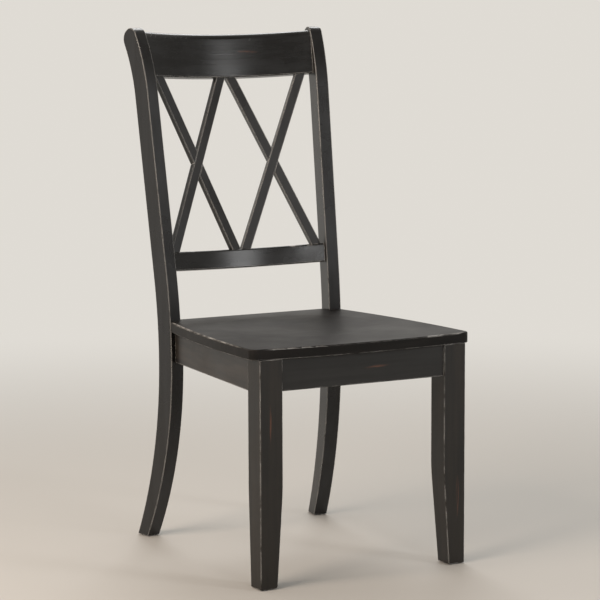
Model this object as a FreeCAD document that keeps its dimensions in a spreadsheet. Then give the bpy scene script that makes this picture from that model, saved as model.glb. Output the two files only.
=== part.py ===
import FreeCAD, Part
import math
import os
import re
import Sketcher

# Cross back dining chair, millimetres, +Z up, the sitter faces -Y.
# The origin is on the floor under the middle of the chair.
# Left and right are as seen by someone who looks at the chair from the front.

SIZES = {
    # whole chair
    "seat_height": 457,
    "back_height": 1043,
    "leg_frame_width": 453,
    "post_spread": 396,
    "leg_to_post": 428.4,
    # rear posts: a sabre foot, a waist, a raked run and a head that curls back
    "post_width": 26,
    "post_leg_width": 30,
    "post_depth": 45,
    "post_turn": 9.5,
    "knee_height": 370,
    "foot_front_radius": 789,
    "foot_back_radius": 880,
    "waist_radius": 1113,
    "back_rake": 9.2,
    "head_run": 131,
    "head_radius": 370,
    "nose_radius": 21,
    "post_arris": 1,
    # bowed back: the crest rail, the lower rail and the crosses follow one bow
    "back_lean": 10.6,
    "crest_lean": 12.5,
    "bow_radius": 545,
    "bow_depth": 32,
    "back_set": 28,
    "rail_level": 556.5,
    "rail_height": 38.5,
    "rail_thickness": 21,
    "rail_arris": 2,
    "rail_roll": 4,
    "crest_drop": 96.3,
    "crest_height": 93,
    "crest_thickness": 22,
    "crest_roll": 13,
    "crest_arris": 3,
    # cross slats
    "slat_width": 20,
    "slat_thickness": 13.5,
    "slat_inner": 12,
    "slat_outer": 164.5,
    "slat_housing": 2,
    "slat_shoulder": 2,
    "slat_tenon": 8,
    "slat_arris": 1.2,
    # seat
    "seat_thickness": 21,
    "seat_side_overhang": 14,
    "seat_front_set": 5,
    "seat_front_bow": 17,
    "seat_side_bow": 11,
    "seat_corner_radius": 16,
    "seat_rear_radius": 5,
    "seat_tongue": 27.5,
    "seat_edge": 2.5,
    "dish_depth": 7,
    "dish_width": 400,
    "dish_length": 370,
    "dish_centre": 35,
    "dish_rim": 0.6,
    # front legs
    "leg_size": 48,
    "taper_height": 185,
    "taper_inner": 12,
    "taper_back": 8,
    "taper_blend": 700,
    "leg_arris": 1,
    # seat frame
    "apron_height": 61.5,
    "apron_thickness": 18,
    "apron_set": 4,
    "side_rail_height": 63,
    "side_rail_thickness": 18,
    "side_rail_set": 1.5,
    "side_rail_post_set": 10,
    "rear_apron_thickness": 16,
    "rear_apron_set": 2,
    "frame_arris": 1.5,
    # tenons
    "tenon_length": 16,
    "tenon_thickness": 8,
    "tenon_shoulder": 9,
    "side_tenon_inset": 2.5,
    "side_tenon_length": 9,
    # corner blocks
    "block_height": 32,
    "block_near": 29,
    "block_far": 61,
    "block_rear_near": 14,
    "block_rear_far": 54,
    # hardware
    "bolt_diameter": 8,
    "bolt_length": 75,
    "bolt_show": 14,
    "nut_width": 13,
    "nut_height": 6.5,
    "washer_diameter": 22,
    "washer_height": 2,
    "glide_diameter": 20,
    "glide_height": 2,
    "glide_pin": 3,
    "glide_pin_length": 14,
    # clearances
    "joint_gap": 0.1,
    "notch_gap": 0.6,
    "pilot_gap": 0.1,
}

ANGLES = ("post_turn", "back_rake", "back_lean", "crest_lean")

# The posts' heads and the crest rail hang from the top of the back.

FOLLOWS = {
    "head_level": "(back_height - head_run)",
    "crest_rise": "((back_height - rail_level - crest_drop) / cos(back_lean))",
}

doc = FreeCAD.newDocument("CrossBackChair")
sheet = doc.addObject("Spreadsheet::Sheet", "Sizes")
for row, (alias, number) in enumerate(SIZES.items(), start=1):
    sheet.set("A%d" % row, alias)
    sheet.set("B%d" % row, str(number))
    sheet.setAlias("B%d" % row, alias)
doc.recompute()

PIECES = {}


def expr(text):
    """Point every size named in an expression at its cell of the sheet; angles become degrees."""
    def cell(word):
        if word.group() in FOLLOWS:
            return expr(FOLLOWS[word.group()])
        if word.group() in ANGLES:
            return "(Sizes.%s * 1 deg)" % word.group()
        return "Sizes." + word.group()
    return re.sub(r"[a-z]+(_[a-z]+)+", cell, text)


def value(text):
    """The present value of an expression in the sheet's sizes."""
    result = sheet.evalExpression(expr(text))
    return float(getattr(result, "Value", result))


def bind(feature, **expressions):
    """Bind properties of a feature to expressions in the sheet's sizes."""
    for name, text in expressions.items():
        feature.setExpression(name, expr(text))
    return feature


def place(x="0", y="0", z="0", turn="0", axis="0; 0; 1"):
    """Text of a placement: a turn about an axis, then a shift."""
    return "placement(vector(%s; %s; %s); rotation(vector(%s); %s))" % (x, y, z, axis, turn)


def keep(name, feature):
    """Call a feature a piece of the chair; its label names its file."""
    feature.Label = name
    PIECES[name] = feature
    return feature


# Solids and booleans

def box(name, length, width, height, where):
    block = doc.addObject("Part::Box", name)
    return bind(block, Length=length, Width=width, Height=height, Placement=where)


def cylinder(name, diameter, height, where):
    rod = doc.addObject("Part::Cylinder", name)
    return bind(rod, Radius="(%s) / 2" % diameter, Height=height, Placement=where)


def fuse(name, shapes):
    joined = doc.addObject("Part::MultiFuse", name)
    joined.Shapes = shapes
    return joined


def cut(name, base, tools):
    """Cut tools from a base, and see that they took something away."""
    tool = tools[0] if len(tools) == 1 else fuse(name + "_tools", tools)
    result = doc.addObject("Part::Cut", name)
    result.Base = base
    result.Tool = tool
    doc.recompute()
    if result.Shape.Volume > base.Shape.Volume - 1e-3:
        raise RuntimeError(name + " cuts nothing")
    return result


def new_body(name, where):
    body = doc.addObject("PartDesign::Body", name)
    return bind(body, Placement=where)


def outline(body, name, role, corners, arcs=None):
    """Closed sketch: corners are pairs of expressions, arcs gives edge: (radius, side of the centre)."""
    arcs = arcs or {}
    sketch = body.newObject("Sketcher::SketchObject", name)
    plane = [item for item in body.Origin.OriginFeatures if item.Role == role][0]
    sketch.AttachmentSupport = [(plane, "")]
    sketch.MapMode = "FlatFace"
    points = [FreeCAD.Vector(value(x), value(y), 0) for x, y in corners]
    count = len(points)
    ends = []
    for edge in range(count):
        start = points[edge]
        finish = points[(edge + 1) % count]
        if edge not in arcs:
            sketch.addGeometry(Part.LineSegment(start, finish), False)
            ends.append((1, 2))
            continue
        radius, side = value(arcs[edge][0]), arcs[edge][1]
        along = (finish - start).normalize()
        left = FreeCAD.Vector(-along.y, along.x, 0)
        half = (finish - start).Length / 2
        centre = (start + finish) * 0.5 + left * (side * math.sqrt(radius ** 2 - half ** 2))
        first, last = (start, finish) if side > 0 else (finish, start)
        circle = Part.Circle(centre, FreeCAD.Vector(0, 0, 1), radius)
        angles = [math.atan2(point.y - centre.y, point.x - centre.x) for point in (first, last)]
        if angles[1] < angles[0]:
            angles[1] += 2 * math.pi
        sketch.addGeometry(Part.ArcOfCircle(circle, angles[0], angles[1]), False)
        ends.append((1, 2) if side > 0 else (2, 1))
    for edge in range(count):
        after = (edge + 1) % count
        sketch.addConstraint(Sketcher.Constraint("Coincident", edge, ends[edge][1], after, ends[after][0]))
    for edge, (x, y) in enumerate(corners):
        for kind, text, number in (("DistanceX", x, points[edge].x), ("DistanceY", y, points[edge].y)):
            label = "corner_%s_%s" % (chr(97 + edge), kind[-1].lower())
            index = sketch.addConstraint(Sketcher.Constraint(kind, -1, 1, edge, ends[edge][0], number))
            sketch.renameConstraint(index, label)
            sketch.setExpression("Constraints." + label, expr(text))
    for edge, (radius, side) in arcs.items():
        label = "radius_%s" % chr(97 + edge)
        index = sketch.addConstraint(Sketcher.Constraint("Radius", edge, value(radius)))
        sketch.renameConstraint(index, label)
        sketch.setExpression("Constraints." + label, expr(radius))
    return sketch


def pad(body, name, sketch, length, middle=False, backwards=False):
    feature = body.newObject("PartDesign::Pad", name)
    feature.Profile = sketch
    feature.Midplane = middle
    feature.Reversed = backwards
    bind(feature, Length=length)
    doc.recompute()
    return feature


def pocket(body, name, sketch, length, backwards=False):
    """Pocket a sketch, and see that it took something away."""
    before = body.Shape.Volume
    feature = body.newObject("PartDesign::Pocket", name)
    feature.Profile = sketch
    feature.Reversed = backwards
    bind(feature, Length=length)
    doc.recompute()
    if body.Shape.Volume > before - 1e-3:
        raise RuntimeError(name + " cuts nothing")
    return feature


def dress(kind, body, name, base, wanted, **sizes):
    """Round or bevel the edges of a feature that pass a test."""
    doc.recompute()
    edges = ["Edge%d" % number for number, edge in enumerate(base.Shape.Edges, start=1) if wanted(edge)]
    feature = body.newObject(kind, name)
    feature.Base = (base, edges)
    bind(feature, **sizes)
    doc.recompute()
    return feature


def ease(body, name, base, radius, wanted):
    return dress("PartDesign::Fillet", body, name, base, wanted, Radius=radius)


def bevel(body, name, base, size, wanted):
    return dress("PartDesign::Chamfer", body, name, base, wanted, Size=size)


def spans(edge, axis):
    """How far an edge reaches along an axis."""
    low = getattr(edge.BoundBox, axis + "Min")
    high = getattr(edge.BoundBox, axis + "Max")
    return high - low


def lies_at(edge, axis, number):
    """Whether a whole edge lies at one level of an axis."""
    low = getattr(edge.BoundBox, axis + "Min")
    high = getattr(edge.BoundBox, axis + "Max")
    return abs(low - number) < 0.01 and abs(high - number) < 0.01


# Rear posts

HEAD_TOP = "(back_height - nose_radius - head_level + head_radius * sin(back_rake))"
HEAD_LEAN = ("(asin(%s / (head_radius - nose_radius)) + asin(nose_radius / (head_radius - nose_radius)))"
             % HEAD_TOP)
WAIST_Y = "(waist_radius * (1 - cos(back_rake)))"
WAIST_Z = "(knee_height + waist_radius * sin(back_rake))"
HEAD_Y = "(%s + (head_level - %s) * tan(back_rake))" % (WAIST_Y, WAIST_Z)
CREST_REACH = ("(back_set + crest_rise * sin(back_lean) + (crest_height - crest_arris) * sin(crest_lean)"
               " + (bow_depth + crest_thickness - crest_arris) * cos(crest_lean) + crest_arris)")

# The origin lies midway between the seat's front and the crest rail's back.

KNEE_X = "(post_spread / 2)"
KNEE_Y = "((leg_to_post - seat_front_set + seat_front_bow - %s) / 2)" % CREST_REACH
LEG_FRONT = "(%s - leg_to_post)" % KNEE_Y
FRAME_TOP = "(seat_height - seat_thickness)"
SIDES = (("left", -1), ("right", 1))


def post_frame(side):
    """The knee's outer front arris of a post: local Y runs back, local X outward on the right."""
    return place("%d * %s" % (side, KNEE_X), KNEE_Y, "0", "%d * post_turn" % -side)


def post_point(outward, back):
    """Half width and depth in the chair of a point in the right post's own frame."""
    x = "(%s + (%s) * cos(post_turn) + (%s) * sin(post_turn))" % (KNEE_X, outward, back)
    y = "(%s - (%s) * sin(post_turn) + (%s) * cos(post_turn))" % (KNEE_Y, outward, back)
    return x, y


def inner_face(y, width="post_width"):
    """Half width between the posts' inner faces at a depth in the chair."""
    return "(%s - %s / cos(post_turn) + (%s - %s) * tan(post_turn))" % (KNEE_X, width, y, KNEE_Y)


def drop(radius, level):
    """How far back a front arc that is plumb at the knee has curved at a level."""
    return "(%s - sqrt(%s ^ 2 - (%s - knee_height) ^ 2))" % (radius, radius, level)


def post_profile(body, name):
    """Side view of a post: front edge up from the foot, over the top, and back down."""
    top_y = "%s + head_radius * (cos(back_rake) - cos(%s))" % (HEAD_Y, HEAD_LEAN)
    top_z = "head_level + head_radius * (sin(%s) - sin(back_rake))" % HEAD_LEAN
    corners = [
        (drop("foot_front_radius", "glide_height"), "glide_height"),
        ("0", "knee_height"),
        (WAIST_Y, WAIST_Z),
        (HEAD_Y, "head_level"),
        (top_y, top_z),
        ("%s + post_depth * cos(%s)" % (top_y, HEAD_LEAN), "%s - post_depth * sin(%s)" % (top_z, HEAD_LEAN)),
        (HEAD_Y + " + post_depth * cos(back_rake)", "head_level - post_depth * sin(back_rake)"),
        (WAIST_Y + " + post_depth * cos(back_rake)", WAIST_Z + " - post_depth * sin(back_rake)"),
        ("post_depth", "knee_height"),
        ("post_depth + " + drop("foot_back_radius", "glide_height"), "glide_height"),
    ]
    arcs = {
        0: ("foot_front_radius", -1),
        1: ("waist_radius", -1),
        3: ("head_radius", -1),
        5: ("head_radius - post_depth", 1),
        7: ("waist_radius - post_depth", 1),
        8: ("foot_back_radius", 1),
    }
    return outline(body, name, "YZ_Plane", corners, arcs)


def post_blank(hand, side):
    """A post before its mortises are cut: its leg is wider, and carries the seat on a shoulder."""
    body = new_body("post_blank_" + hand, post_frame(side))
    sketch = post_profile(body, "post_profile_" + hand)
    pad(body, "post_run_" + hand, sketch, "post_leg_width", backwards=side > 0)
    near, far = "%d * post_width" % -side, "%d * post_leg_width * 2" % -side
    waste = [(near, FRAME_TOP), (far, FRAME_TOP), (far, "back_height * 1.2"), (near, "back_height * 1.2")]
    face = outline(body, "post_waste_" + hand, "XZ_Plane", waste)
    slim = pocket(body, "post_shoulder_" + hand, face, "post_depth * 6")
    crown = value("back_height - 2 * post_depth")
    nose = ease(body, "post_nose_" + hand, slim, "nose_radius",
                lambda edge: spans(edge, "Z") < 0.01 and edge.BoundBox.ZMin > crown)
    ends = (value("glide_height"), value(FRAME_TOP))
    bevel(body, "post_arrises_" + hand, nose, "post_arris",
          lambda edge: spans(edge, "X") < 0.01 and not any(lies_at(edge, "Z", level) for level in ends))
    return body


def scribe(hand, side):
    """The post's profile drawn wide, to trim what meets its front."""
    body = new_body("scribe_" + hand, post_frame(side))
    sketch = post_profile(body, "scribe_profile_" + hand)
    pad(body, "scribe_run_" + hand, sketch, "post_width * 6", middle=True)
    return body


# Bowed back

BACK = place("0", KNEE_Y + " + back_set", "rail_level", "-1 * back_lean", "1; 0; 0")
CREST = "%s * %s" % (BACK, place(z="crest_rise", turn="back_lean - crest_lean", axis="1; 0; 0"))


def bow(x, radius):
    """Depth in the leaning frame of a cylinder of that radius about the bow's axis."""
    return "(sqrt((%s) ^ 2 - (%s) ^ 2) - bow_radius + bow_depth)" % (radius, x)


def bowed_blank(name, frame, height, thickness, roll):
    """A board bent to the bow: its section turned about the bow's upright axis."""
    body = new_body(name, "%s * %s" % (frame, place(y="bow_depth - bow_radius")))
    corners = [
        ("bow_radius + rail_arris", "0"),
        ("bow_radius + %s - rail_arris" % thickness, "0"),
        ("bow_radius + " + thickness, "rail_arris"),
        ("bow_radius + " + thickness, height + " - crest_arris"),
        ("bow_radius + %s - crest_arris" % thickness, height),
        ("bow_radius + " + roll, height),
        ("bow_radius", "%s - %s" % (height, roll)),
        ("bow_radius", "rail_arris"),
    ]
    section = outline(body, name + "_section", "YZ_Plane", corners, {5: (roll, 1)})
    bend = body.newObject("PartDesign::Revolution", name + "_bend")
    bend.Profile = section
    bend.ReferenceAxis = (section, ["V_Axis"])
    bend.Midplane = True
    bind(bend, Angle="2 * asin((post_spread / 2 + post_width) / bow_radius)")
    doc.recompute()
    return body


def post_trims(name, width="post_width"):
    """Big blocks on the outer side of both posts' inner faces, which trim a board to length."""
    trims = []
    for hand, side in SIDES:
        corner = "-1 * " + width if side > 0 else "%s - post_width * 8" % width
        where = "%s * %s" % (post_frame(side), place(corner, "-post_depth * 6", "0"))
        trims.append(box("%s_trim_%s" % (name, hand), "post_width * 8", "post_depth * 16",
                         "back_height * 1.2", where))
    return trims


def post_tenons(name, y, z, height, lean, gap="0", width="post_width"):
    """Tenons that run square into both posts, centred on a level and a depth in the chair."""
    pieces = []
    for hand, side in SIDES:
        frame = place("%d * %s" % (side, inner_face(y, width)), y, z, "%d * post_turn" % -side)
        tilt = place(turn="-1 * " + lean, axis="1; 0; 0")
        start = "-tenon_length / 2" if side > 0 else "-tenon_length - %s" % gap
        corner = place(start, "-tenon_thickness / 2 - %s" % gap, "-(%s) / 2 - %s" % (height, gap))
        pieces.append(box("%s_%s" % (name, hand), "1.5 * tenon_length + %s" % gap,
                          "tenon_thickness + 2 * %s" % gap, "%s + 2 * %s" % (height, gap),
                          "%s * %s * %s" % (frame, tilt, corner)))
    return pieces


def rail_tenons(name, gap="0"):
    """Tenons of the lower back rail."""
    depth = bow(inner_face(KNEE_Y + " + back_set"), "bow_radius + rail_thickness / 2")
    y = "(%s + back_set + rail_height / 2 * sin(back_lean) + %s * cos(back_lean))" % (KNEE_Y, depth)
    z = "(rail_level + rail_height / 2 * cos(back_lean) - %s * sin(back_lean))" % depth
    return post_tenons(name, y, z, "(rail_height - 2 * tenon_shoulder)", "back_lean", gap)


def crest_tenons(name, gap="0"):
    """Tenons of the crest rail."""
    end = inner_face(KNEE_Y + " + back_set + (crest_rise + crest_height / 2) * sin(back_lean)")
    depth = bow(end, "bow_radius + crest_thickness / 2")
    y = ("(%s + back_set + crest_rise * sin(back_lean) + crest_height / 2 * sin(crest_lean)"
         " + %s * cos(crest_lean))" % (KNEE_Y, depth))
    z = ("(rail_level + crest_rise * cos(back_lean) + crest_height / 2 * cos(crest_lean)"
         " - %s * sin(crest_lean))" % depth)
    return post_tenons(name, y, z, "(crest_height - 3 * tenon_shoulder)", "crest_lean", gap)


# Cross slats, in the plane of a chord of the bow

SLAT_MIDDLE = "(bow_radius + rail_thickness / 2)"
CHORD_FALL = "(%s - %s)" % (bow("slat_inner", SLAT_MIDDLE), bow("slat_outer", SLAT_MIDDLE))
CHORD_TURN = "atan(%s / (slat_outer - slat_inner))" % CHORD_FALL
CHORD = "sqrt(%s ^ 2 + (slat_outer - slat_inner) ^ 2)" % CHORD_FALL
SLAT_RUN = "(crest_rise - rail_height)"


def cross_frame(side):
    middle = "(%s + %s) / 2" % (bow("slat_inner", SLAT_MIDDLE), bow("slat_outer", SLAT_MIDDLE))
    x = "%d * (slat_inner + slat_outer) / 2" % side
    return "%s * %s" % (BACK, place(x, middle, "rail_height", "%d * %s" % (-side, CHORD_TURN)))


def slat_half(gap):
    """Half the width of a slat measured along a rail."""
    return "((slat_width / 2 + %s) / cos(atan(%s / %s)))" % (gap, CHORD, SLAT_RUN)


def slat_corners(rising, gap):
    """Front view of a slat's bar between the rails."""
    half = slat_half(gap)
    foot, head = "%d * %s / 2" % (-rising, CHORD), "%d * %s / 2" % (rising, CHORD)
    return [(foot + " - " + half, "0"), (foot + " + " + half, "0"),
            (head + " + " + half, SLAT_RUN), (head + " - " + half, SLAT_RUN)]


def stub_corners(middle, level, way, gap):
    """Front view of a slat's end: a housed part as wide as the slat, then a plumb tenon."""
    half = slat_half(gap)
    slim = "(%s - slat_shoulder)" % half
    housed = "%s + %d * (slat_housing + %s)" % (level, way, gap)
    deep = "%s + %d * (slat_tenon + %s)" % (level, way, gap)
    left = [("-" + half, level), ("-" + half, housed), ("-" + slim, housed), ("-" + slim, deep)]
    right = [(x[1:], z) for x, z in reversed(left)]
    return [("%s + (%s)" % (middle, x), z) for x, z in left + right]


def slat(name, side, rising, gap="0"):
    """One slat; with a gap it is the tool that cuts the mortises for it."""
    body = new_body(name + "_bar", cross_frame(side))
    face = outline(body, name + "_face", "XZ_Plane", slat_corners(rising, gap))
    thickness = "slat_thickness + 2 * (%s)" % gap
    pad(body, name + "_run", face, thickness, middle=True)
    if gap == "0":
        other = outline(body, name + "_lap", "XZ_Plane", slat_corners(-rising, "joint_gap"))
        lap = pocket(body, name + "_half_lap", other, "slat_thickness", backwards=rising < 0)
        bevel(body, name + "_arrises", lap, "slat_arris",
              lambda edge: spans(edge, "Z") > value("slat_width") * 2.5)
    for end, middle, level, way in (("foot", "%d * %s / 2" % (-rising, CHORD), "0", -1),
                                    ("head", "%d * %s / 2" % (rising, CHORD), SLAT_RUN, 1)):
        stub = outline(body, "%s_%s_face" % (name, end), "XZ_Plane", stub_corners(middle, level, way, gap))
        pad(body, "%s_%s" % (name, end), stub, thickness, middle=True)
    return body


# Seat frame

def leg(hand, side):
    """Front leg: square above, tapered on its inner and back faces below."""
    body = new_body("leg_blank_" + hand, place("%d * leg_frame_width / 2" % side, LEG_FRONT, "0"))
    taper_top = "(glide_height + taper_height)"

    def taper(amount):
        slope = "atan(%s / taper_height)" % amount
        tangent = "(taper_blend * tan(%s / 2))" % slope
        return [
            ("(leg_size)", "%s + %s" % (taper_top, tangent)),
            ("(leg_size - %s * sin(%s))" % (tangent, slope), "%s - %s * cos(%s)" % (taper_top, tangent, slope)),
            ("(leg_size - %s)" % amount, "glide_height"),
        ]

    inner = [("0", "glide_height"), ("0", FRAME_TOP), ("leg_size", FRAME_TOP)] + taper("taper_inner")
    front = [("%d * %s" % (-side, x), z) for x, z in inner]
    face = outline(body, "leg_front_view_" + hand, "XZ_Plane", front, {3: ("taper_blend", side)})
    run = pad(body, "leg_run_" + hand, face, "leg_size", backwards=True)
    waste = taper("taper_back") + [("(leg_size + taper_back)", "glide_height"),
                                   ("(leg_size + taper_back)", taper("taper_back")[0][1])]
    side_view = outline(body, "leg_side_view_" + hand, "YZ_Plane", waste, {0: ("taper_blend", -1)})
    shaped = pocket(body, "leg_taper_" + hand, side_view, "leg_size * 2", backwards=side < 0)
    bevel(body, "leg_arrises_" + hand, shaped, "leg_arris",
          lambda edge: spans(edge, "Z") > 2)
    return body


SIDE_START_X = "(leg_frame_width / 2 - side_rail_set)"
SIDE_START_Y = "(%s + leg_size)" % LEG_FRONT
SIDE_END_X, SIDE_END_Y = post_point("-side_rail_post_set", "0")
SIDE_RUN_X = "(%s - %s)" % (SIDE_START_X, SIDE_END_X)
SIDE_RUN_Y = "(%s - %s)" % (SIDE_END_Y, SIDE_START_Y)
SIDE_TURN = "atan(%s / %s)" % (SIDE_RUN_X, SIDE_RUN_Y)
SIDE_LENGTH = "sqrt(%s ^ 2 + %s ^ 2)" % (SIDE_RUN_X, SIDE_RUN_Y)
REAR_FRONT = "(%s + seat_tongue - rear_apron_set - rear_apron_thickness)" % KNEE_Y
APRON_FRONT = "(%s + apron_set)" % LEG_FRONT
APRON_BACK = "(%s + apron_thickness)" % APRON_FRONT
APRON_HALF = "(leg_frame_width / 2 - leg_size)"


def side_frame(side):
    """Front end of a side rail's outer face: local Y runs back along the rail."""
    return place("%d * %s" % (side, SIDE_START_X), SIDE_START_Y, "0", "%d * %s" % (side, SIDE_TURN))


def rail_inside(y):
    """Half width between the side rails' inner faces at a depth in the chair."""
    return ("(%s - side_rail_thickness / cos(%s) - (%s - %s) * tan(%s))"
            % (SIDE_START_X, SIDE_TURN, y, SIDE_START_Y, SIDE_TURN))


def board(name, frame, role, low, high, run, middle, backwards):
    """A straight board: a rectangle run along its length, with its bottom edges eased."""
    body = new_body(name, frame)
    corners = [low, (high[0], low[1]), high, (low[0], high[1])]
    section = outline(body, name + "_section", role, corners)
    length = pad(body, name + "_run", section, run, middle, backwards)
    bottom = value(low[1])
    bevel(body, name + "_arrises", length, "frame_arris",
          lambda edge: lies_at(edge, "Z", bottom) and edge.Length > value("post_depth"))
    return body


def side_rail_blank(hand, side):
    """A side rail trimmed to the leg's back and scribed to the post's curved front."""
    low = ("-side_rail_thickness" if side > 0 else "0", FRAME_TOP + " - side_rail_height")
    high = ("0" if side > 0 else "side_rail_thickness", FRAME_TOP)
    long_board = board("side_board_" + hand, "%s * %s" % (side_frame(side), place(y="-frame_arris * 3")),
                       "XZ_Plane", low, high, SIDE_LENGTH + " + post_width", False, True)
    leg_trim = box("leg_trim_" + hand, "leg_size * 3", "leg_size", "seat_height", place(
        "%d * leg_frame_width / 2 - leg_size * 1.5" % side, "%s - leg_size" % SIDE_START_Y))
    return cut("side_blank_" + hand, long_board, [leg_trim, scribe(hand, side)])


def side_tenons(name, side, gap="0"):
    """Tenons at both ends of a side rail."""
    width = "tenon_thickness + 2 * %s" % gap
    height = "side_rail_height - 2 * tenon_shoulder + 2 * %s" % gap
    inset = "side_tenon_inset - %s" % gap
    corner = "-(%s) - (%s)" % (inset, width) if side > 0 else inset
    low = "%s - side_rail_height + tenon_shoulder - %s" % (FRAME_TOP, gap)
    ends = (("front", "-tenon_length - %s" % gap, "1.5 * tenon_length + %s" % gap),
            ("rear", SIDE_LENGTH + " - tenon_length / 2", "tenon_length / 2 + side_tenon_length + %s" % gap))
    return [box("%s_%s" % (name, end), width, length, height,
                "%s * %s" % (side_frame(side), place(corner, start, low))) for end, start, length in ends]


def apron_tenons(name, gap="0"):
    """Tenons of the front apron, one for each leg."""
    blocks = []
    y = "%s + (apron_thickness - tenon_thickness) / 2 - %s" % (APRON_FRONT, gap)
    low = "%s - apron_height + tenon_shoulder - %s" % (FRAME_TOP, gap)
    for hand, side in SIDES:
        start = APRON_HALF + " - tenon_length / 2" if side > 0 else "-%s - tenon_length - %s" % (APRON_HALF, gap)
        blocks.append(box("%s_%s" % (name, hand), "1.5 * tenon_length + %s" % gap,
                          "tenon_thickness + 2 * %s" % gap,
                          "apron_height - 2 * tenon_shoulder + 2 * %s" % gap, place(start, y, low)))
    return blocks


def rear_tenons(name, gap="0"):
    """Tenons of the rear apron."""
    return post_tenons(name, "(%s + rear_apron_thickness / 2)" % REAR_FRONT,
                       "(%s - apron_height / 2)" % FRAME_TOP,
                       "(apron_height - 2 * tenon_shoulder)", "0", gap, "post_leg_width")


# Seat

def dish_tool():
    """What the scoop takes out of the seat: a smooth dish that meets the flat rim at a shallow slope."""
    depth = value("dish_depth + dish_rim")
    half_x = value("dish_width") / 2
    half_y = value("dish_length") / 2
    grid = 9
    rows = []
    for i in range(grid):
        across = 2 * i / (grid - 1) - 1
        row = []
        for j in range(grid):
            along = 2 * j / (grid - 1) - 1
            reach = min(1, math.hypot(across, along))
            fall = depth * (1 + math.cos(math.pi * reach)) / 2
            row.append(FreeCAD.Vector(across * half_x, along * half_y, value("dish_rim") - fall))
        rows.append(row)
    surface = Part.BSplineSurface()
    surface.interpolate(rows)
    tool = doc.addObject("Part::Feature", "dish_waste")
    tool.Shape = surface.toShape().extrude(FreeCAD.Vector(0, 0, value("seat_thickness")))
    centre = value("%s + leg_to_post / 2 + dish_centre" % LEG_FRONT)
    tool.Placement = FreeCAD.Placement(FreeCAD.Vector(0, centre, value("seat_height")), FreeCAD.Rotation())
    return tool


def seat():
    """Seat board: bowed front and sides, notched round the posts, scooped on top."""
    front = "(%s + seat_front_set)" % LEG_FRONT
    half = "(leg_frame_width / 2 + seat_side_overhang)"
    face = "(%s - notch_gap)" % drop("waist_radius", FRAME_TOP)
    outer_x, outer_y = post_point("0", face)
    notch_x, notch_y = post_point("-post_width - notch_gap", face)
    back = "(%s + seat_tongue)" % KNEE_Y
    back_x = "(%s + (%s - %s) * tan(post_turn))" % (notch_x, back, notch_y)
    chord = "sqrt((%s - %s) ^ 2 + (%s - %s) ^ 2)" % (half, outer_x, outer_y, front)
    side_radius = "((%s / 2) ^ 2 + seat_side_bow ^ 2) / (2 * seat_side_bow)" % chord
    front_radius = "(%s ^ 2 + seat_front_bow ^ 2) / (2 * seat_front_bow)" % half
    right = [(half, front), (outer_x, outer_y), (notch_x, notch_y), (back_x, back)]
    left = [("-" + x, y) for x, y in reversed(right)]
    body = new_body("seat_board", place(z=FRAME_TOP))
    arcs = {0: (side_radius, 1), 6: (side_radius, 1), 7: (front_radius, 1)}
    sketch = outline(body, "seat_outline", "XY_Plane", right + left, arcs)
    plain = pad(body, "seat_run", sketch, "seat_thickness")
    front_y = value(front)
    back_y = value(back)
    notch = (value(outer_y) - 0.1, value(notch_y) + 0.1)
    upright = value("seat_thickness") - 0.01
    corners = ease(body, "seat_front_corners", plain, "seat_corner_radius",
                   lambda edge: spans(edge, "Z") > upright and edge.BoundBox.YMax < front_y + 1)
    rear = ease(body, "seat_rear_corners", corners, "seat_rear_radius",
                lambda edge: spans(edge, "Z") > upright and edge.BoundBox.YMin > back_y - 1)

    def rim(edge, level):
        in_notch = edge.BoundBox.YMin > notch[0] and edge.BoundBox.YMax < notch[1]
        return lies_at(edge, "Z", level) and not in_notch

    top = ease(body, "seat_top_rim", rear, "seat_edge", lambda edge: rim(edge, value("seat_thickness")))
    bevel(body, "seat_bottom_rim", top, "seat_edge / 2", lambda edge: rim(edge, 0))
    return cut("seat_scooped", body, [dish_tool()])


# Corner blocks and their hardware

def between(p, q, share=0.5):
    """A point a share of the way from one plan point to another."""
    return tuple("(%s * %s + %s * %s)" % (1 - share, a, share, b) for a, b in zip(p, q))


def block_corners(end):
    """Plan of the right corner block: two points on the apron, then two on the side rail."""
    near, far, x, y, way = "block_near", "block_far", APRON_HALF, APRON_BACK, "+"
    if end == "rear":
        near, far, y, way = "block_rear_near", "block_rear_far", REAR_FRONT, "-"
        x = inner_face(REAR_FRONT, "post_leg_width")
    start = SIDE_START_Y if end == "front" else REAR_FRONT
    points = [("(%s - %s)" % (x, near), y), ("(%s - %s)" % (x, far), y)]
    for reach in (far, near):
        depth = "(%s %s %s)" % (start, way, reach)
        points.append((rail_inside(depth), depth))
    return points


def mirrored(point, side):
    return ("%d * %s" % (side, point[0]), point[1])


def block(name, end, side):
    """A corner block, flush with the top of the seat frame."""
    body = new_body(name, place(z=FRAME_TOP + " - block_height"))
    corners = [mirrored(point, side) for point in block_corners(end)]
    sketch = outline(body, name + "_plan", "XY_Plane", corners)
    pad(body, name + "_run", sketch, "block_height")
    return body


def bolt_frame(side):
    """Middle of a front block's open face: local Z points into the chair."""
    a, b, c, d = block_corners("front")
    x, y = mirrored(between(b, c), side)
    turn = "%d * atan((%s - %s) / (%s - %s))" % (side, c[1], b[1], c[0], b[0])
    return "%s * %s" % (place(x, y, FRAME_TOP + " - block_height / 2", turn),
                        place(turn="-90", axis="1; 0; 0"))


def leg_bolt(name, side, gap="0"):
    """The bolt through a front block into the leg's inner corner."""
    where = "%s * %s" % (bolt_frame(side), place(z="bolt_show - bolt_length"))
    return cylinder(name, "bolt_diameter + 2 * %s" % gap, "bolt_length", where)


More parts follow.
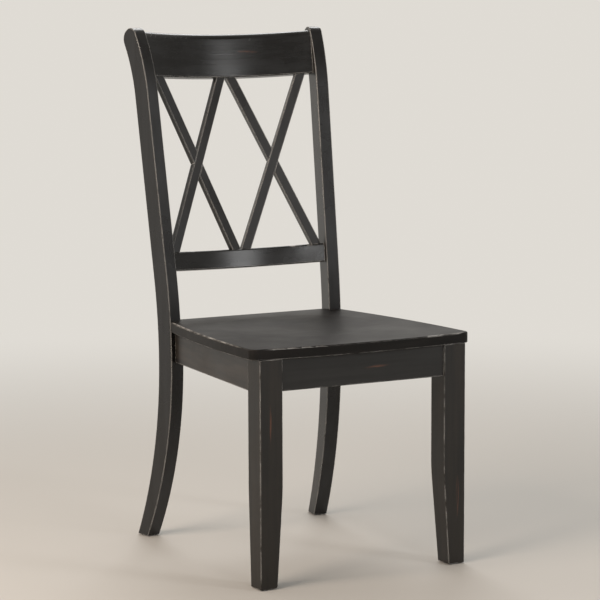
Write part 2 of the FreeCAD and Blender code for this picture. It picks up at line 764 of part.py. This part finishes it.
def ring(name, blank, side, start, height):
    """A washer or nut: its blank with the bolt's hole through it."""
    where = "%s * %s" % (bolt_frame(side), place(z="%s - nut_height" % start))
    hole = cylinder(name + "_hole", "bolt_diameter + 2 * joint_gap", height + " + 2 * nut_height", where)
    return cut(name, blank, [hole])


def washer(name, side):
    blank = cylinder(name + "_disc", "washer_diameter", "washer_height", bolt_frame(side))
    return ring(name, blank, side, "0", "washer_height")


def nut(name, side):
    prism = doc.addObject("Part::Prism", name + "_prism")
    prism.Polygon = 6
    where = "%s * %s" % (bolt_frame(side), place(z="washer_height"))
    bind(prism, Circumradius="nut_width / 2 / cos(30 deg)", Height="nut_height", Placement=where)
    return ring(name, prism, side, "washer_height", "nut_height")


# Floor glides

def foot_centre(end, side):
    """Plan of the middle of a foot."""
    if end == "front":
        point = ("(leg_frame_width / 2 - (leg_size - taper_inner) / 2)",
                 "(%s + (leg_size - taper_back) / 2)" % LEG_FRONT)
    else:
        front = drop("foot_front_radius", "glide_height")
        back = drop("foot_back_radius", "glide_height")
        point = post_point("-post_leg_width / 2", "(%s + post_depth + %s) / 2" % (front, back))
    return mirrored(point, side)


def glide_pin(name, end, side, gap="0"):
    x, y = foot_centre(end, side)
    return cylinder(name, "glide_pin + 2 * %s" % gap, "glide_height + glide_pin_length", place(x, y))


def glide(name, end, side):
    """A floor glide: a disc under the foot and the pin that holds it."""
    x, y = foot_centre(end, side)
    disc = cylinder(name + "_disc", "glide_diameter", "glide_height", place(x, y))
    return fuse(name, [disc, glide_pin(name + "_pin", end, side)])


# Back assembly

trims = post_trims("board")
crest_blank = bowed_blank("crest_blank", CREST, "crest_height", "crest_thickness", "crest_roll")
crest = fuse("crest_with_tenons", [cut("crest_trimmed", crest_blank, trims)] + crest_tenons("crest_tenon"))
rail_blank = bowed_blank("rail_blank", BACK, "rail_height", "rail_thickness", "rail_roll")
rail = fuse("rail_with_tenons", [cut("rail_trimmed", rail_blank, trims)] + rail_tenons("rail_tenon"))
slat_tools = []
for hand, side in SIDES:
    for place_name, rising in (("front", 1), ("rear", -1)):
        name = "%s_cross_%s_slat" % (hand, place_name)
        keep(name, slat(name, side, rising))
        slat_tools.append(slat(name + "_mortise", side, rising, "joint_gap"))
keep("crest_rail", cut("crest_mortised", crest, slat_tools))
keep("lower_back_rail", cut("rail_mortised", rail, slat_tools))

# Seat frame

apron = board("apron_board", place(y=APRON_FRONT), "YZ_Plane", ("0", FRAME_TOP + " - apron_height"),
              ("apron_thickness", FRAME_TOP), "2 * " + APRON_HALF, True, False)
rear_board = board("rear_board", place(y=REAR_FRONT), "YZ_Plane", ("0", FRAME_TOP + " - apron_height"),
                   ("rear_apron_thickness", FRAME_TOP), "leg_frame_width", True, False)
keep("front_apron", fuse("front_apron_joined", [apron] + apron_tenons("apron_tenon")))
rear_trimmed = cut("rear_trimmed", rear_board, post_trims("rear_board", "post_leg_width"))
keep("rear_apron", fuse("rear_apron_joined", [rear_trimmed] + rear_tenons("rear_tenon")))
keep("seat_panel", seat())
for hand, side in SIDES:
    blank = side_rail_blank(hand, side)
    keep("side_rail_" + hand, fuse("side_rail_joined_" + hand, [blank] + side_tenons("side_tenon_" + hand, side)))
    drilled = cut("block_drilled_" + hand, block("block_front_" + hand, "front", side),
                  [leg_bolt("block_bolt_hole_" + hand, side, "joint_gap")])
    keep("corner_block_front_" + hand, drilled)
    keep("corner_block_rear_" + hand, block("block_rear_" + hand, "rear", side))

# Legs and posts

crest_mortises = crest_tenons("crest_mortise", "joint_gap")
rail_mortises = rail_tenons("rail_mortise", "joint_gap")
rear_mortises = rear_tenons("rear_mortise", "joint_gap")
apron_mortises = apron_tenons("apron_mortise", "joint_gap")
for index, (hand, side) in enumerate(SIDES):
    front_mortise, rear_mortise = side_tenons("side_mortise_" + hand, side, "joint_gap")
    leg_tools = [apron_mortises[index], front_mortise, leg_bolt("leg_bolt_hole_" + hand, side, "pilot_gap"),
                 glide_pin("leg_pin_hole_" + hand, "front", side, "pilot_gap")]
    keep("front_leg_" + hand, cut("leg_mortised_" + hand, leg(hand, side), leg_tools))
    post_tools = [crest_mortises[index], rail_mortises[index], rear_mortises[index], rear_mortise,
                  glide_pin("post_pin_hole_" + hand, "rear", side, "pilot_gap")]
    keep("rear_post_" + hand, cut("post_mortised_" + hand, post_blank(hand, side), post_tools))
    keep("floor_glide_front_" + hand, glide("glide_front_" + hand, "front", side))
    keep("floor_glide_rear_" + hand, glide("glide_rear_" + hand, "rear", side))
keep("leg_bolts", fuse("bolts", [leg_bolt("leg_bolt_" + hand, side) for hand, side in SIDES]))
keep("bolt_washers", fuse("washers", [washer("washer_" + hand, side) for hand, side in SIDES]))
keep("bolt_nuts", fuse("nuts", [nut("nut_" + hand, side) for hand, side in SIDES]))

# Checks and export

doc.recompute()
for item in doc.Objects:
    if "Invalid" in item.State or "Error" in item.State:
        raise RuntimeError("%s is in error" % item.Name)
    shape = getattr(item, "Shape", None)
    if shape is not None and item.TypeId not in ("App::Plane", "App::Line", "App::Point"):
        if shape.isNull() or not shape.isValid():
            raise RuntimeError("%s has no valid shape" % item.Name)

os.makedirs("parts", exist_ok=True)
for name, piece in PIECES.items():
    if not piece.Shape.Solids:
        raise RuntimeError(name + " holds no solid")
    piece.Shape.exportStep("parts/%s.step" % name)
    print(name, len(piece.Shape.Solids), round(piece.Shape.Volume / 1000, 1))
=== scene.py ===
import math

import bpy
from mathutils import Matrix, Vector


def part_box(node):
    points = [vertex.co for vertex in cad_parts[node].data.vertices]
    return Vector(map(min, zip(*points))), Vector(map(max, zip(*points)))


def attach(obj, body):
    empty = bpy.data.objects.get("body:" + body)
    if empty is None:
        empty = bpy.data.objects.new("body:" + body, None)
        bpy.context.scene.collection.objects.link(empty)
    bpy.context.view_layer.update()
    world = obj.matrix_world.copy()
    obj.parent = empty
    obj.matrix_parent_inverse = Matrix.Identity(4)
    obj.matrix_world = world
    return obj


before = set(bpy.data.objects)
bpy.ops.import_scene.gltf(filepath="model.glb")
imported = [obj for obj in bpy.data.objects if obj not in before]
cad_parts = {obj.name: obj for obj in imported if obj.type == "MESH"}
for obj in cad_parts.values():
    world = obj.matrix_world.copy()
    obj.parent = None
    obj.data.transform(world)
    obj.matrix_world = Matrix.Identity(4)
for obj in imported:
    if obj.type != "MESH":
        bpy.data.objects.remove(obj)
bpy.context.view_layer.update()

# Camera, fitted to the photograph's perspective; metres and degrees

CAMERA_SIDE = -2.2448
CAMERA_BEFORE_LEGS = 3.7589
CAMERA_HEIGHT = 1.0868
CAMERA_AZIMUTH = 29.235
CAMERA_DIP = 7.18
CAMERA_ROLL = -0.19
FOCAL_OVER_WIDTH = 2336.7 / 600
SENSOR_WIDTH = 36.0


def add_camera():
    """Look along the fitted direction from the fitted place."""
    legs_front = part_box("front_leg_left")[0][1]
    place = Vector((CAMERA_SIDE, legs_front - CAMERA_BEFORE_LEGS, CAMERA_HEIGHT))
    azimuth, dip = math.radians(CAMERA_AZIMUTH), math.radians(CAMERA_DIP)
    forward = Vector((math.sin(azimuth) * math.cos(dip), math.cos(azimuth) * math.cos(dip), -math.sin(dip)))
    turn = forward.to_track_quat("-Z", "Y").to_matrix().to_4x4()
    roll = Matrix.Rotation(math.radians(CAMERA_ROLL), 4, "Z")
    data = bpy.data.cameras.new("camera")
    data.sensor_width = SENSOR_WIDTH
    data.lens = FOCAL_OVER_WIDTH * SENSOR_WIDTH
    camera = link(bpy.data.objects.new("camera", data))
    camera.matrix_world = Matrix.Translation(place) @ turn @ roll
    bpy.context.scene.camera = camera


def link(obj):
    """Put an object into the scene."""
    bpy.context.scene.collection.objects.link(obj)
    return obj


# Node helpers

def new_material(name):
    """An empty node material: its tree and its Principled shader."""
    material = bpy.data.materials.new(name)
    material.use_nodes = True
    tree = material.node_tree
    tree.nodes.clear()
    output = tree.nodes.new("ShaderNodeOutputMaterial")
    shader = tree.nodes.new("ShaderNodeBsdfPrincipled")
    tree.links.new(shader.outputs["BSDF"], output.inputs["Surface"])
    return material, tree, shader


def feed(tree, socket, source):
    """Give an input socket a linked output or a plain value."""
    if isinstance(source, bpy.types.NodeSocket):
        tree.links.new(source, socket)
    elif isinstance(source, tuple) and len(source) == 3 and socket.type == "RGBA":
        socket.default_value = (*source, 1.0)
    else:
        socket.default_value = source


def place_on_object(tree):
    """The shaded point in the object's own metres."""
    return tree.nodes.new("ShaderNodeTexCoord").outputs["Object"]


def noise(tree, coordinates, scale, shift=(0.0, 0.0, 0.0), detail=4.0, roughness=0.55):
    """Soft noise with so many cells to the metre along each axis."""
    mapping = tree.nodes.new("ShaderNodeMapping")
    feed(tree, mapping.inputs["Vector"], coordinates)
    mapping.inputs["Scale"].default_value = scale
    mapping.inputs["Location"].default_value = shift
    node = tree.nodes.new("ShaderNodeTexNoise")
    feed(tree, node.inputs["Vector"], mapping.outputs["Vector"])
    node.inputs["Scale"].default_value = 1.0
    node.inputs["Detail"].default_value = detail
    node.inputs["Roughness"].default_value = roughness
    return node.outputs["Fac"]


def ramp(tree, value, low, high, out_low=0.0, out_high=1.0):
    """A smooth step from one range to another."""
    node = tree.nodes.new("ShaderNodeMapRange")
    node.interpolation_type = "SMOOTHSTEP"
    feed(tree, node.inputs["Value"], value)
    for name, number in (("From Min", low), ("From Max", high), ("To Min", out_low), ("To Max", out_high)):
        node.inputs[name].default_value = number
    return node.outputs["Result"]


def maths(tree, operation, first, second):
    """One sum on two numbers."""
    node = tree.nodes.new("ShaderNodeMath")
    node.operation = operation
    feed(tree, node.inputs[0], first)
    feed(tree, node.inputs[1], second)
    return node.outputs["Value"]


def vector_maths(tree, operation, first, second=(0.0, 0.0, 0.0)):
    """One sum on two vectors, which gives a vector, a length or a dot product."""
    node = tree.nodes.new("ShaderNodeVectorMath")
    node.operation = operation
    feed(tree, node.inputs[0], first)
    feed(tree, node.inputs[1], second)
    return node.outputs["Value" if operation in ("LENGTH", "DOT_PRODUCT") else "Vector"]


def mix(tree, share, first, second):
    """A colour between two others."""
    node = tree.nodes.new("ShaderNodeMix")
    node.data_type = "RGBA"
    colour_inputs = [socket for socket in node.inputs if socket.type == "RGBA"]
    feed(tree, node.inputs["Factor"], share)
    feed(tree, colour_inputs[0], first)
    feed(tree, colour_inputs[1], second)
    return [socket for socket in node.outputs if socket.type == "RGBA"][0]


def bump(tree, height, strength, distance):
    """A normal tilted by a height."""
    node = tree.nodes.new("ShaderNodeBump")
    feed(tree, node.inputs["Height"], height)
    node.inputs["Strength"].default_value = strength
    node.inputs["Distance"].default_value = distance
    return node.outputs["Normal"]


def linear(red, green, blue):
    """A linear colour from 8-bit sRGB values."""
    def straight(byte):
        part = byte / 255
        return part / 12.92 if part <= 0.04045 else ((part + 0.055) / 1.055) ** 2.4
    return tuple(straight(byte) for byte in (red, green, blue))


def scaled(values, factor):
    """A tuple with each value times a factor."""
    return tuple(value * factor for value in values)


# Near-black paint over wood

PAINT = linear(34, 33, 32)
PAINT_DEEP = linear(25, 24, 23)
# The pale arris colour is worn paint together with a painted highlight along the edges
PAINT_WORN_AND_HIGHLIGHT = linear(216, 214, 211)
RUB_BROWN = linear(92, 60, 46)

# Noise cells to the metre: along and across the grain, and in every direction

GRAIN_ALONG = 3.0
GRAIN_ACROSS = 60.0
FINER = 5.0
CLOUD_CELLS = (9.0, 9.0, 9.0)
CHIP_CELLS = (22.0, 22.0, 22.0)

# The paint's clouds lighten it and vary its gloss; its grain stands out a little

CLOUD_LIGHTER = 1.5
CLOUD_SHARE = 0.35
GLOSS_SPREAD = (-0.05, 0.08)
FINE_SHARE = 0.35
GRAIN_STRENGTH = 0.25
GRAIN_RELIEF = 0.0006

# Worn and highlit arrises: the reach of the worn paint and its painted edge highlight in metres, and how far
# the faces' directions part there

ARRIS_REACH = 0.0016
ARRIS_TURN = (0.99, 0.92)
BEVEL_SAMPLES = 6

# Rubbed places: the middle and half size of each, in metres from the chair's origin

CREST_RUB = ((0.048, 0.29, 0.991), (0.036, 0.08, 0.004))
APRON_RUB = ((0.031, -0.291, 0.404), (0.036, 0.01, 0.006))
LEFT_LEG_RUB = ((-0.2048, -0.295, 0.310), (0.004, 0.01, 0.048))
RIGHT_LEG_RUB = ((0.2098, -0.295, 0.136), (0.004, 0.01, 0.050))
RUB_STREAKS = (0.46, 0.62)
RUB_CORE = 0.2


def inside(tree, coordinates, middle, half):
    """How far inside a soft-edged rubbed place a point lies."""
    offset = vector_maths(tree, "SUBTRACT", coordinates, middle)
    share = vector_maths(tree, "DIVIDE", offset, half)
    return ramp(tree, vector_maths(tree, "LENGTH", share), 1.0, RUB_CORE)


def arris_wear_and_highlight(tree, coordinates, shift, broken):
    """A thin broken line where two faces meet: worn paint and a painted highlight on the arris."""
    bevel = tree.nodes.new("ShaderNodeBevel")
    bevel.samples = BEVEL_SAMPLES
    bevel.inputs["Radius"].default_value = ARRIS_REACH
    flat = tree.nodes.new("ShaderNodeNewGeometry").outputs["True Normal"]
    edge = ramp(tree, vector_maths(tree, "DOT_PRODUCT", bevel.outputs["Normal"], flat), *ARRIS_TURN)
    chips = noise(tree, coordinates, CHIP_CELLS, shift, 5.0, 0.65)
    return maths(tree, "MULTIPLY", edge, ramp(tree, chips, *broken))


def rub_wear(tree, coordinates, stretch, seed, middle, half):
    """Streaks along the grain within a rubbed place."""
    streaks = noise(tree, coordinates, scaled(stretch, FINER), (seed + 4.0, seed, seed + 2.0), 3.0, 0.6)
    return maths(tree, "MULTIPLY", inside(tree, coordinates, middle, half), ramp(tree, streaks, *RUB_STREAKS))


def painted_wood(name, grain_axis, base=PAINT, deep=PAINT_DEEP, roughness=0.4, shine=0.4,
                 wear_and_highlight=0.85, broken=(0.36, 0.56), rubs=(), seed=0.0):
    """Satin paint on long-grained wood, worn pale with a painted highlight on its arrises, and rubbed brown
    in places.
    """
    material, tree, shader = new_material(name)
    coordinates = place_on_object(tree)
    stretch = tuple(GRAIN_ALONG if axis == grain_axis else GRAIN_ACROSS for axis in "XYZ")
    shift = (seed, seed * 0.7, seed * 1.3)
    grain = noise(tree, coordinates, stretch, shift, 6.0, 0.6)
    fine = noise(tree, coordinates, scaled(stretch, FINER), shift, 3.0)
    clouds = noise(tree, coordinates, CLOUD_CELLS, shift, 3.0)

    colour = mix(tree, ramp(tree, grain, 0.35, 0.65), deep, base)
    lift = ramp(tree, clouds, 0.3, 0.75, 0.0, CLOUD_SHARE)
    colour = mix(tree, lift, colour, scaled(base, CLOUD_LIGHTER))
    for middle, half in rubs:
        colour = mix(tree, rub_wear(tree, coordinates, stretch, seed, middle, half), colour, RUB_BROWN)
    # Pale arris line: worn paint and a painted edge highlight
    worn_and_highlit = maths(tree, "MULTIPLY", arris_wear_and_highlight(tree, coordinates, shift, broken), wear_and_highlight)
    feed(tree, shader.inputs["Base Color"], mix(tree, worn_and_highlit, colour, PAINT_WORN_AND_HIGHLIGHT))

    smooth, rough = (roughness + spread for spread in GLOSS_SPREAD)
    feed(tree, shader.inputs["Roughness"], ramp(tree, clouds, 0.2, 0.8, smooth, rough))
    shader.inputs["Specular IOR Level"].default_value = shine
    relief = maths(tree, "ADD", grain, maths(tree, "MULTIPLY", fine, FINE_SHARE))
    feed(tree, shader.inputs["Normal"], bump(tree, relief, GRAIN_STRENGTH, GRAIN_RELIEF))
    return material


# Bare wood, steel and nylon

SPOT_CELLS = (70.0, 70.0, 70.0)
SPOT_DARKER = 0.85
SPOT_GLOSS = 0.06
SPOT_STRENGTH = 0.1
SPOT_RELIEF = 0.0002


def plain(name, colour, roughness, metallic=0.0):
    """A simple surface with a little unevenness in its colour and gloss."""
    material, tree, shader = new_material(name)
    spots = noise(tree, place_on_object(tree), SPOT_CELLS)
    spotted = mix(tree, ramp(tree, spots, 0.3, 0.7), colour, scaled(colour, SPOT_DARKER))
    feed(tree, shader.inputs["Base Color"], spotted)
    gloss = ramp(tree, spots, 0.2, 0.8, roughness - SPOT_GLOSS, roughness + SPOT_GLOSS)
    feed(tree, shader.inputs["Roughness"], gloss)
    shader.inputs["Metallic"].default_value = metallic
    feed(tree, shader.inputs["Normal"], bump(tree, spots, SPOT_STRENGTH, SPOT_RELIEF))
    return material


# The chair's pieces and their materials

BLOCKS = ("corner_block_front_left", "corner_block_front_right",
          "corner_block_rear_left", "corner_block_rear_right")
SLATS = ("left_cross_front_slat", "left_cross_rear_slat",
         "right_cross_front_slat", "right_cross_rear_slat")
GLIDES = ("floor_glide_front_left", "floor_glide_front_right",
          "floor_glide_rear_left", "floor_glide_rear_right")


def dress(material, *nodes):
    """Give a material to pieces of the chair."""
    for node in nodes:
        slots = bpy.data.objects[node].data.materials
        slots.clear()
        slots.append(material)


def dress_back():
    """Paint the rails, the posts and the crosses between them."""
    rails = painted_wood("crest_paint", "X", linear(36, 36, 36), roughness=0.24, shine=0.45,
                         broken=(0.3, 0.5), rubs=(CREST_RUB,), seed=3.0)
    dress(rails, "crest_rail", "lower_back_rail")
    posts = painted_wood("post_paint", "Z", linear(34, 34, 35), roughness=0.28,
                         broken=(0.28, 0.46), seed=15.0)
    dress(posts, "rear_post_left", "rear_post_right")
    slats = painted_wood("slat_paint", "Z", linear(41, 40, 40), linear(34, 33, 33), roughness=0.3,
                         wear_and_highlight=0.95, broken=(0.2, 0.4), seed=18.0)
    dress(slats, *SLATS)


def dress_seat():
    """Paint the seat, the frame under it and the front legs."""
    seat = painted_wood("seat_paint", "X", linear(34, 32, 31), linear(26, 25, 24), roughness=0.42,
                        shine=0.1, wear_and_highlight=0.6, broken=(0.3, 0.62), seed=1.0)
    dress(seat, "seat_panel")
    dress(painted_wood("apron_paint", "X", rubs=(APRON_RUB,), seed=7.0), "front_apron", "rear_apron")
    dress(painted_wood("side_paint", "Y", linear(48, 43, 39), seed=8.0), "side_rail_left", "side_rail_right")
    legs = painted_wood("leg_paint", "Z", linear(38, 34, 30), rubs=(LEFT_LEG_RUB, RIGHT_LEG_RUB), seed=12.0)
    dress(legs, "front_leg_left", "front_leg_right")


def dress_fittings():
    """Corner blocks of bare wood, zinc-plated steel and nylon glides."""
    dress(plain("block_wood", linear(150, 112, 78), 0.6), *BLOCKS)
    dress(plain("zinc_steel", linear(190, 190, 188), 0.35, 1.0), "leg_bolts", "bolt_washers", "bolt_nuts")
    dress(plain("glide_nylon", linear(40, 39, 38), 0.5), *GLIDES)


# Screws of the corner blocks: two through each slanted face and one up into the seat

HEAD_RINGS = ((0.0013, 0.0006), (0.0022, 0.0007), (0.0024, 0.0008),
              (0.0034, 0.0006), (0.004, 0.0), (0.004, -0.0004))
RECESS_RADIUS = 0.0023
RECESS_DEPTH = 0.0011
RECESS_SLOT = 0.5
RING_POINTS = 32
SCREW_FROM_MIDDLE = 0.36


def is_slanted(side):
    """Whether a direction is level and between X and Y."""
    return abs(side.z) < 0.05 and min(abs(side.x), abs(side.y)) > 0.3


def is_under(side):
    return side.z < -0.9


def flat_face(obj, wanted):
    """Middle, outward direction, level direction and length of a solid's widest side that passes a test."""
    groups = {}
    for polygon in obj.data.polygons:
        if wanted(polygon.normal):
            key = tuple(round(part, 1) for part in polygon.normal)
            groups.setdefault(key, []).append(polygon)
    face = max(groups.values(), key=lambda group: sum(polygon.area for polygon in group))
    area = sum(polygon.area for polygon in face)
    middle = sum((polygon.center * polygon.area for polygon in face), Vector()) / area
    normal = face[0].normal.copy()
    along = Vector((-normal.y, normal.x, 0))
    reach = [obj.data.vertices[index].co.dot(along) for polygon in face for index in polygon.vertices]
    return middle, normal, along, max(reach) - min(reach)


def head_level(radius, height, angle):
    """Height of a screw's head over the wood: its dome, or the floor of its cross recess."""
    in_cross = radius < RECESS_RADIUS and abs(math.sin(2 * angle)) < RECESS_SLOT
    return -RECESS_DEPTH if in_cross else height


def screw_head(vertices, faces, place, facing):
    """Add a low round head with a cross recess."""
    turn = facing.to_track_quat("Z", "Y")
    first = len(vertices)
    vertices.append(place + turn @ Vector((0, 0, -RECESS_DEPTH)))
    for radius, height in HEAD_RINGS:
        for step in range(RING_POINTS):
            angle = 2 * math.pi * step / RING_POINTS
            x, y = radius * math.cos(angle), radius * math.sin(angle)
            vertices.append(place + turn @ Vector((x, y, head_level(radius, height, angle))))
    for step in range(RING_POINTS):
        after = (step + 1) % RING_POINTS
        faces.append((first, first + 1 + step, first + 1 + after))
        for ring in range(len(HEAD_RINGS) - 1):
            low = first + 1 + ring * RING_POINTS
            high = low + RING_POINTS
            faces.append((low + step, high + step, high + after, low + after))


def add_block_screws():
    """All the corner blocks' screw heads, as one piece."""
    vertices, faces = [], []
    for name in BLOCKS:
        block = bpy.data.objects[name]
        middle, normal, along, length = flat_face(block, is_slanted)
        for way in (-1, 1):
            screw_head(vertices, faces, middle + along * way * length * SCREW_FROM_MIDDLE, normal)
        middle, normal = flat_face(block, is_under)[:2]
        screw_head(vertices, faces, middle, normal)
    mesh = bpy.data.meshes.new("block_screws")
    mesh.from_pydata([tuple(vertex) for vertex in vertices], [], faces)
    mesh.materials.append(bpy.data.materials["zinc_steel"])
    screws = link(bpy.data.objects.new("block_screws", mesh))
    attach(screws, "root")


# Floor, lamps and world

FLOOR_REACH = 80.0
FLOOR_COLOUR = (0.62, 0.60, 0.57)
FLOOR_ROUGHNESS = 0.9
FLOOR_SHINE = 0.1
FLOOR_FADE = (0.9, 3.2)
BACKGROUND_COLOUR = (0.74, 0.71, 0.66)

KEY_TINT = (1.0, 0.84, 0.70)
WHITE = (1.0, 1.0, 1.0)
CHAIR_MIDDLE = (0, 0, 0.5)
BACK_MIDDLE = (0, 0.17, 0.75)
RAIL_MIDDLE = (0, 0.17, 0.6)

BRIGHT_SIDE = (0.45, 0.89, 0.0)
BRIGHT_SPREAD = (-0.6, 0.9)
DIM_STRENGTH = 0.22


def add_floor():
    """A plain pale floor whose far part fades into an even background where it is seen."""
    mesh = bpy.data.meshes.new("floor")
    corners = [(x * FLOOR_REACH, y * FLOOR_REACH, 0) for x, y in ((-1, -1), (1, -1), (1, 1), (-1, 1))]
    mesh.from_pydata(corners, [], [(0, 1, 2, 3)])
    floor = link(bpy.data.objects.new("floor", mesh))
    material, tree, shader = new_material("floor_paint")
    shader.inputs["Base Color"].default_value = (*FLOOR_COLOUR, 1.0)
    shader.inputs["Roughness"].default_value = FLOOR_ROUGHNESS
    shader.inputs["Specular IOR Level"].default_value = FLOOR_SHINE
    glow = tree.nodes.new("ShaderNodeEmission")
    glow.inputs["Color"].default_value = (*BACKGROUND_COLOUR, 1.0)
    far = ramp(tree, vector_maths(tree, "LENGTH", place_on_object(tree)), *FLOOR_FADE)
    rays = tree.nodes.new("ShaderNodeLightPath").outputs
    mirrored = maths(tree, "MAXIMUM", rays["Is Glossy Ray"], rays["Is Transmission Ray"])
    seen = maths(tree, "MAXIMUM", rays["Is Camera Ray"], mirrored)
    blend = tree.nodes.new("ShaderNodeMixShader")
    feed(tree, blend.inputs[0], maths(tree, "MULTIPLY", far, seen))
    tree.links.new(shader.outputs["BSDF"], blend.inputs[1])
    tree.links.new(glow.outputs["Emission"], blend.inputs[2])
    output = [node for node in tree.nodes if node.bl_idname == "ShaderNodeOutputMaterial"][0]
    tree.links.new(blend.outputs["Shader"], output.inputs["Surface"])
    mesh.materials.append(material)


def add_lamp(name, place, aim, size, power, tint=WHITE):
    """A rectangular lamp that faces a point."""
    data = bpy.data.lights.new(name, "AREA")
    data.shape = "RECTANGLE"
    data.size, data.size_y = size
    data.energy = power
    data.color = tint
    lamp = link(bpy.data.objects.new(name, data))
    lamp.location = place
    lamp.rotation_euler = (Vector(aim) - Vector(place)).to_track_quat("-Z", "Y").to_euler()


def add_lamps():
    """A warm lamp on the left, one high behind, and two in front that the bowed back mirrors."""
    add_lamp("key", (-2.6, -0.6, 1.9), CHAIR_MIDDLE, (1.6, 1.6), 58, KEY_TINT)
    add_lamp("window", (1.2, 2.2, 3.2), CHAIR_MIDDLE, (1.6, 1.6), 45)
    add_lamp("front", (1.62, -2.75, 1.6), BACK_MIDDLE, (0.6, 1.1), 17)
    add_lamp("near", (-0.05, -3.1, 1.45), RAIL_MIDDLE, (0.5, 0.5), 7)


def add_world():
    """A world that is bright behind the chair, where it matches the background, and dim in front of it."""
    world = bpy.data.worlds.new("world")
    bpy.context.scene.world = world
    world.use_nodes = True
    tree = world.node_tree
    background = tree.nodes["Background"]
    direction = tree.nodes.new("ShaderNodeTexCoord").outputs["Generated"]
    ahead = vector_maths(tree, "DOT_PRODUCT", direction, BRIGHT_SIDE)
    peak = max(BACKGROUND_COLOUR)
    background.inputs["Color"].default_value = (*scaled(BACKGROUND_COLOUR, 1 / peak), 1.0)
    feed(tree, background.inputs["Strength"], ramp(tree, ahead, *BRIGHT_SPREAD, DIM_STRENGTH, peak))


add_camera()
dress_back()
dress_seat()
dress_fittings()
add_block_screws()
add_floor()
add_lamps()
add_world()

scene = bpy.context.scene
scene.view_settings.view_transform = "Standard"
